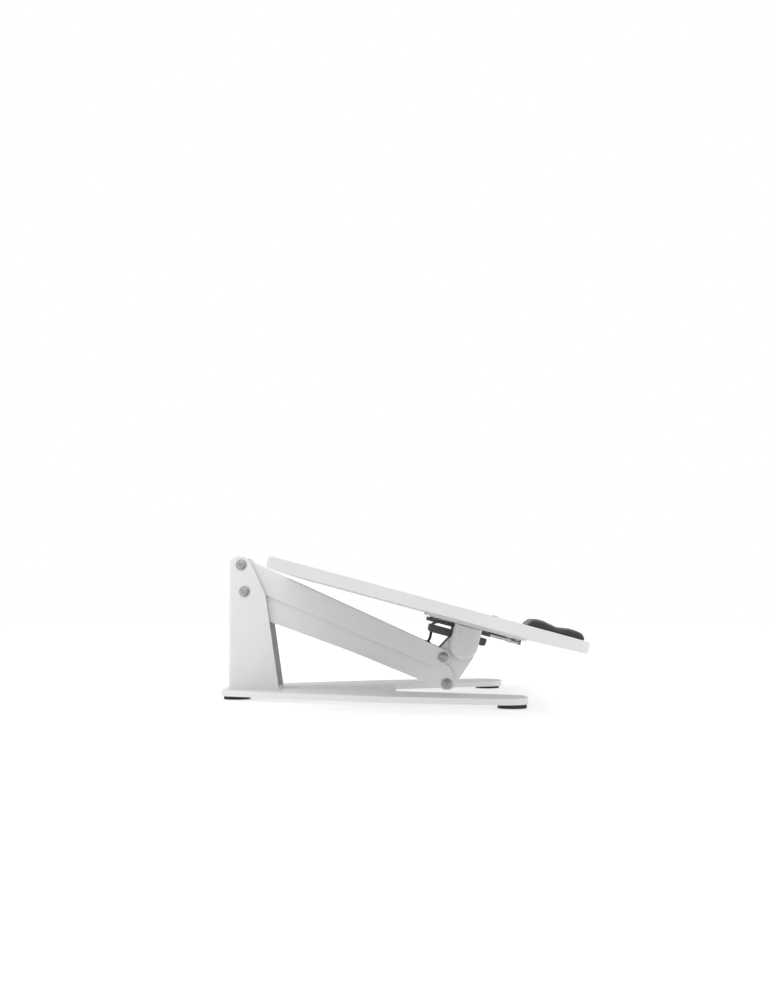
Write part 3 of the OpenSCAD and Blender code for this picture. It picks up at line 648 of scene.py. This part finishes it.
def makeFoot(name, node):
    low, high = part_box(node)
    bm = bmesh.new()
    middle = Matrix.Translation(((low.x + high.x) / 2, (low.y + high.y) / 2, 0))
    lathe(bm, foot["profile"], foot["segments"], middle)
    mesh = meshFrom(bm, name)
    smoothByAngle(mesh, 35)
    return place(meshObject(name, mesh), "rubber_feet", "base", node)


for name, node in (("footRearLeft", "foot_rear_left"), ("footRearRight", "foot_rear_right"),
                   ("footFrontLeft", "foot_front_left"), ("footFrontRight", "foot_front_right")):
    makeFoot(name, node)
print("feet ready")


# ---- geometry node trees: screw heads, grip ribs and the wound spring
def newGeometryTree(name, inputs):
    tree = bpy.data.node_groups.new(name, "GeometryNodeTree")
    tree.interface.new_socket(name="Geometry", in_out="INPUT", socket_type="NodeSocketGeometry")
    for label, kind, value in inputs:
        socket = tree.interface.new_socket(name=label, in_out="INPUT", socket_type=kind)
        if value is not None:
            socket.default_value = value
    tree.interface.new_socket(name="Geometry", in_out="OUTPUT", socket_type="NodeSocketGeometry")
    return tree, tree.nodes.new("NodeGroupInput"), tree.nodes.new("NodeGroupOutput")


def addNode(tree, kind, values=None, **settings):
    node = tree.nodes.new(kind)
    for key, value in settings.items():
        setattr(node, key, value)
    for key, value in (values or {}).items():
        if isinstance(value, bpy.types.NodeSocket):
            tree.links.new(value, node.inputs[key])
        else:
            node.inputs[key].default_value = value
    return node


def maths(tree, operation, a, b=0.0):
    return addNode(tree, "ShaderNodeMath", {0: a, 1: b}, operation=operation).outputs[0]


def setOutput(tree, given, made, geometry):
    solid = addNode(tree, "GeometryNodeRealizeInstances", {"Geometry": geometry})
    painted = addNode(tree, "GeometryNodeSetMaterial",
                      {"Geometry": solid.outputs[0], "Material": given.outputs["Finish"]})
    tree.links.new(painted.outputs[0], made.inputs["Geometry"])


def lifted(tree, geometry, height):
    offset = addNode(tree, "ShaderNodeCombineXYZ", {"Z": height}).outputs[0]
    return addNode(tree, "GeometryNodeTransform", {"Geometry": geometry, "Translation": offset}).outputs[0]


def makeScrewTree():  # domed heads with a hexagon socket, on every point, along its "aim"
    tree, given, made = newGeometryTree("screwHeads", [
        ("Head Radius", "NodeSocketFloat", 7.25 * mm), ("Head Height", "NodeSocketFloat", 4.4 * mm),
        ("Dome", "NodeSocketFloat", 1.55), ("Socket Radius", "NodeSocketFloat", 2.9 * mm),
        ("Socket Depth", "NodeSocketFloat", 2.4 * mm), ("Shank Radius", "NodeSocketFloat", 2.0 * mm),
        ("Shank Length", "NodeSocketFloat", 1.0 * mm), ("Finish", "NodeSocketMaterial", None)])
    size = given.outputs
    drum = addNode(tree, "GeometryNodeMeshCylinder", {
        "Vertices": 40, "Radius": size["Head Radius"], "Depth": size["Head Height"]}).outputs["Mesh"]
    drum = lifted(tree, drum, maths(tree, "MULTIPLY", size["Head Height"], 0.5))
    domeRadius = maths(tree, "MULTIPLY", size["Head Radius"], size["Dome"])
    ball = addNode(tree, "GeometryNodeMeshUVSphere", {
        "Segments": 40, "Rings": 40, "Radius": domeRadius}).outputs["Mesh"]
    ball = lifted(tree, ball, maths(tree, "SUBTRACT", size["Head Height"], domeRadius))
    head = addNode(tree, "GeometryNodeMeshBoolean", {"Mesh 2": drum}, operation="INTERSECT")
    tree.links.new(ball, head.inputs["Mesh 2"])
    socketTall = maths(tree, "MULTIPLY", size["Socket Depth"], 2.0)
    hexagon = addNode(tree, "GeometryNodeMeshCylinder",
                      {"Vertices": 6, "Radius": size["Socket Radius"], "Depth": socketTall}).outputs["Mesh"]
    hexagon = lifted(tree, hexagon, size["Head Height"])
    cut = addNode(tree, "GeometryNodeMeshBoolean", {"Mesh 1": head.outputs["Mesh"], "Mesh 2": hexagon},
                  operation="DIFFERENCE")
    shank = addNode(tree, "GeometryNodeMeshCylinder", {
        "Vertices": 24, "Radius": size["Shank Radius"], "Depth": size["Shank Length"]}).outputs["Mesh"]
    shank = lifted(tree, shank, maths(tree, "MULTIPLY", size["Shank Length"], -0.5))
    screw = addNode(tree, "GeometryNodeJoinGeometry")
    tree.links.new(cut.outputs["Mesh"], screw.inputs[0])
    tree.links.new(shank, screw.inputs[0])
    aim = addNode(tree, "GeometryNodeInputNamedAttribute", {"Name": "aim"}, data_type="FLOAT_VECTOR")
    turned = addNode(tree, "FunctionNodeAlignRotationToVector", {"Vector": aim.outputs[0]}, axis="Z")
    spread = addNode(tree, "GeometryNodeInstanceOnPoints", {
        "Points": size["Geometry"], "Instance": screw.outputs[0], "Rotation": turned.outputs[0]})
    setOutput(tree, given, made, spread.outputs[0])
    return tree


def makeRibTree():  # a row of round bars, laid side by side along Y of the piece's own line
    tree, given, made = newGeometryTree("gripRibs", [
        ("Rib Radius", "NodeSocketFloat", 0.9 * mm), ("Rib Length", "NodeSocketFloat", 44 * mm),
        ("Finish", "NodeSocketMaterial", None)])
    bar = addNode(tree, "GeometryNodeMeshCylinder", {
        "Vertices": 14, "Radius": given.outputs["Rib Radius"], "Depth": given.outputs["Rib Length"]})
    laid = addNode(tree, "GeometryNodeTransform", {
        "Geometry": bar.outputs["Mesh"], "Rotation": (0, math.pi / 2, 0)})
    spread = addNode(tree, "GeometryNodeInstanceOnPoints",
                     {"Points": given.outputs["Geometry"], "Instance": laid.outputs[0]})
    setOutput(tree, given, made, spread.outputs[0])
    return tree


def makeCoilTree():  # a wound wire along Z
    tree, given, made = newGeometryTree("woundWire", [
        ("Turns", "NodeSocketFloat", 4.0), ("Coil Radius", "NodeSocketFloat", 4.0 * mm),
        ("Coil Length", "NodeSocketFloat", 4.6 * mm), ("Wire Radius", "NodeSocketFloat", 0.42 * mm),
        ("Finish", "NodeSocketMaterial", None)])
    size = given.outputs
    spiral = addNode(tree, "GeometryNodeCurveSpiral", {
        "Resolution": 28, "Rotations": size["Turns"], "Start Radius": size["Coil Radius"],
        "End Radius": size["Coil Radius"], "Height": size["Coil Length"]})
    wire = addNode(tree, "GeometryNodeCurvePrimitiveCircle", {
        "Resolution": 10, "Radius": size["Wire Radius"]})
    tube = addNode(tree, "GeometryNodeCurveToMesh", {
        "Curve": spiral.outputs["Curve"], "Profile Curve": wire.outputs["Curve"], "Fill Caps": True})
    spread = addNode(tree, "GeometryNodeInstanceOnPoints",
                     {"Points": given.outputs["Geometry"], "Instance": tube.outputs[0]})
    setOutput(tree, given, made, spread.outputs[0])
    return tree


screwTree, ribTree, coilTree = makeScrewTree(), makeRibTree(), makeCoilTree()


def grow(name, tree, spots, slot, values, matrix=None):  # runs a tree on points and keeps plain mesh
    mesh = bpy.data.meshes.new(name)
    mesh.from_pydata([tuple(s[0]) for s in spots], [], [])
    aim = mesh.attributes.new("aim", "FLOAT_VECTOR", "POINT")
    for item, (_, direction) in zip(aim.data, spots):
        item.vector = direction
    piece = meshObject(name, mesh)
    modifier = piece.modifiers.new("build", "NODES")
    modifier.node_group = tree
    for socket in tree.interface.items_tree:
        if socket.in_out == "INPUT" and socket.name in values:
            modifier[socket.identifier] = values[socket.name]
        elif socket.in_out == "INPUT" and socket.name == "Finish":
            modifier[socket.identifier] = materials[slot]
    bake(piece)
    if matrix:
        piece.data.transform(matrix)
    smoothByAngle(piece.data, 32)
    return piece


def centreOf(node):
    low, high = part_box(node)
    return (low + high) / 2


boltKit = {"Head Radius": 7.25 * mm, "Head Height": 4.4 * mm, "Dome": 1.25, "Socket Radius": 3.2 * mm,
           "Socket Depth": 3.4 * mm, "Shank Radius": 4.0 * mm, "Shank Length": 1.2 * mm}


def axleBolts(name, washers, axles, body, node):
    spots = []
    for axle in axles:
        centre = centreOf(axle)
        reach = max(abs(v.co.x) for v in frame["nodes"][washers].data.vertices
                    if (v.co.yz - centre.yz).length < 9 * mm)
        for sign in (-1, 1):
            spots.append(((sign * reach, centre.y, centre.z), (sign, 0, 0)))
    place(grow(name, screwTree, spots, "zinc_bolts", boltKit), "zinc_bolts", body, node)


axleBolts("rearBolts", "rear_washers", ("rear_upper_axle", "rear_lower_axle"), "base", "rear_bolts")
axleBolts("frontBolts", "front_washers", ("front_upper_axle", "front_lower_axle"),
          "knuckle_frame", "front_bolts")


def islandCentres(node, nearest):  # where each separate screw of a CAD node stands
    found = []
    for vertex in frame["nodes"][node].data.vertices:
        for group in found:
            if (vertex.co - group[0]).length < nearest:
                group.append(vertex.co.copy())
                break
        else:
            found.append([vertex.co.copy()])
    middles = []
    for group in found:
        low = Vector([min(p[k] for p in group) for k in range(3)])
        high = Vector([max(p[k] for p in group) for k in range(3)])
        middles.append((low + high) / 2)
    return middles


towerKit = {"Head Radius": 5.2 * mm, "Head Height": 2.2 * mm, "Dome": 1.9, "Socket Radius": 1.9 * mm,
            "Socket Depth": 1.2 * mm, "Shank Radius": 3.0 * mm, "Shank Length": 11.0 * mm}
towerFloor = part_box("tower_screws")[1].z - towerKit["Head Height"]
spots = [((m.x, m.y, towerFloor), (0, 0, 1)) for m in islandCentres("tower_screws", 14 * mm)]
place(grow("towerScrews", screwTree, spots, "zinc_bolts", towerKit), "zinc_bolts", "base", "tower_screws")

plateScrew = {"x": 0.081, "forwards": (-0.056, 0.010, 0.076), "seat": 0.031}
plateKit = {"Head Radius": 4.0 * mm, "Head Height": 2.2 * mm, "Dome": 1.6, "Socket Radius": 1.5 * mm,
            "Socket Depth": 1.2 * mm, "Shank Radius": 2.0 * mm, "Shank Length": 3.9 * mm}
down = deskFrame.to_3x3() @ Vector((0, 0, -1))
spots = [(onDesk(sign * plateScrew["x"], u, plateScrew["seat"]), down)
         for sign in (-1, 1) for u in plateScrew["forwards"]]
place(grow("plateScrews", screwTree, spots, "zinc_bolts", plateKit), "zinc_bolts", "tabletop", "plate_screws")

leverScrew = {"xs": (0.2715, 0.3285), "forward": 0.098, "seat": 0.023}
leverKit = {"Head Radius": 1.3 * mm, "Head Height": 1.4 * mm, "Dome": 1.6, "Socket Radius": 0.6 * mm,
            "Socket Depth": 0.6 * mm, "Shank Radius": 0.8 * mm, "Shank Length": 0.5 * mm}
spots = [(onDesk(x, leverScrew["forward"], leverScrew["seat"]), down) for x in leverScrew["xs"]]
place(grow("leverScrews", screwTree, spots, "zinc_bolts", leverKit), "zinc_bolts", "tabletop", "lever_screws")

lever = {"x": 0.300, "half": 0.026, "springGap": 0.4 * mm, "pivotForward": 0.070, "pivotUp": 0.028,
         "ribs": (0.096, 0.1005, 0.105, 0.1095, 0.114), "under": 0.0231}
ribKit = {"Rib Radius": 0.45 * mm, "Rib Length": 44 * mm}
coilKit = {"Turns": 4.5, "Coil Radius": 4.15 * mm, "Coil Length": 4.4 * mm, "Wire Radius": 0.42 * mm}
softEdged("hand_lever", "handLever", 0.5 * mm, 3)
spots = [(onDesk(lever["x"], u, lever["under"]), (0, 0, 1)) for u in lever["ribs"]]
place(grow("handLeverRibs", ribTree, spots, "black_plastic", ribKit), "black_plastic", "lever")
springPlace = onDesk(lever["x"] - lever["half"] - lever["springGap"], lever["pivotForward"], lever["pivotUp"])
springTurn = Matrix.Translation(springPlace) @ Matrix.Rotation(math.pi / 2, 4, "Y")
place(grow("leverSpring", coilTree, [((0, 0, 0), (0, 0, 1))], "steel", coilKit, springTurn),
      "steel", "tabletop", "lever_spring")
print("screws, ribs and spring ready")


# ---- release cable under the board, and the loop down into the arm
cable = {"radius": 2.25 * mm, "sides": 14,
         "route": [
             (269, 104, 30), (262, 104, 30), (252, 104, 30), (240, 104, 30), (225, 104, 30), (205, 104, 30),
             (185, 103, 30), (165, 98, 30), (146, 88, 30), (130, 74, 30), (122, 62, 30), (120, 50, 30),
             (120, 35, 30), (120, 20, 30), (120, 5, 30), (119, -10, 30), (115, -25, 29), (107, -38, 26.5),
             (95, -47, 23), (80, -52, 19), (64, -53, 15.5), (50, -53, 13.5), (38, -53, 13), (31, -53, 13)],
         "loopTop": [(16, -53, 18), (16, -53, 13), (16, -53, 7)],
         "loopLow": [(16, 320.6, 19), (16, 320.6, 14), (16, 320.6, 8.5)], "steps": 6, "loopSteps": 12}


def smoothRoute(points, between):  # Catmull-Rom through the given points
    ends = [points[0] * 2 - points[1], *points, points[-1] * 2 - points[-2]]
    line = []
    for a, b, c, d in zip(ends, ends[1:], ends[2:], ends[3:]):
        for k in range(between):
            t = k / between
            line.append(0.5 * ((2 * b) + (c - a) * t + (2 * a - 5 * b + 4 * c - d) * t * t
                               + (3 * b - a - 3 * c + d) * t ** 3))
    return line + [points[-1]]


def makeTube(name, line, radius, sides):
    bm = bmesh.new()
    rings, side = [], None
    for i, point in enumerate(line):
        along = (line[min(i + 1, len(line) - 1)] - line[max(i - 1, 0)]).normalized()
        if side is None:
            side = along.orthogonal().normalized()
        side = (side - along * side.dot(along)).normalized()
        other = along.cross(side)
        rings.append([bm.verts.new(point + radius * (math.cos(2 * math.pi * k / sides) * side
                                                     + math.sin(2 * math.pi * k / sides) * other))
                      for k in range(sides)])
    for a, b in zip(rings, rings[1:]):
        for k in range(sides):
            bm.faces.new((a[k], a[(k + 1) % sides], b[(k + 1) % sides], b[k]))
    bm.faces.new(rings[0])
    bm.faces.new(rings[-1])
    bmesh.ops.recalc_face_normals(bm, faces=bm.faces)
    mesh = meshFrom(bm, name)
    smoothByAngle(mesh, 50)
    return meshObject(name, mesh)


line = smoothRoute([onDesk(x * mm, u * mm, v * mm) for x, u, v in cable["route"]], cable["steps"])
place(makeTube("releaseCable", line, cable["radius"], cable["sides"]),
      "cable_jacket", "tabletop", "release_cable")

topPoints = [onDesk(x * mm, u * mm, v * mm) for x, u, v in cable["loopTop"]]
lowPoints = [upperFrame @ Vector((x * mm, -u * mm, v * mm)) for x, u, v in cable["loopLow"]]
line = smoothRoute(topPoints + lowPoints, cable["loopSteps"])
# the loop is cut in two at the ring at its second low point
seam = (len(topPoints) + 1) * cable["loopSteps"]
loopUpper = makeTube("cableLoopUpper", line[:seam + 1], cable["radius"], cable["sides"])
loopLower = makeTube("cableLoopLower", line[seam:], cable["radius"], cable["sides"])
place(loopUpper, "cable_jacket", None, "cable_loop")
place(loopLower, "cable_jacket", None, "cable_loop")
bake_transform(loopUpper)
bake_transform(loopLower)
print("cable ready")
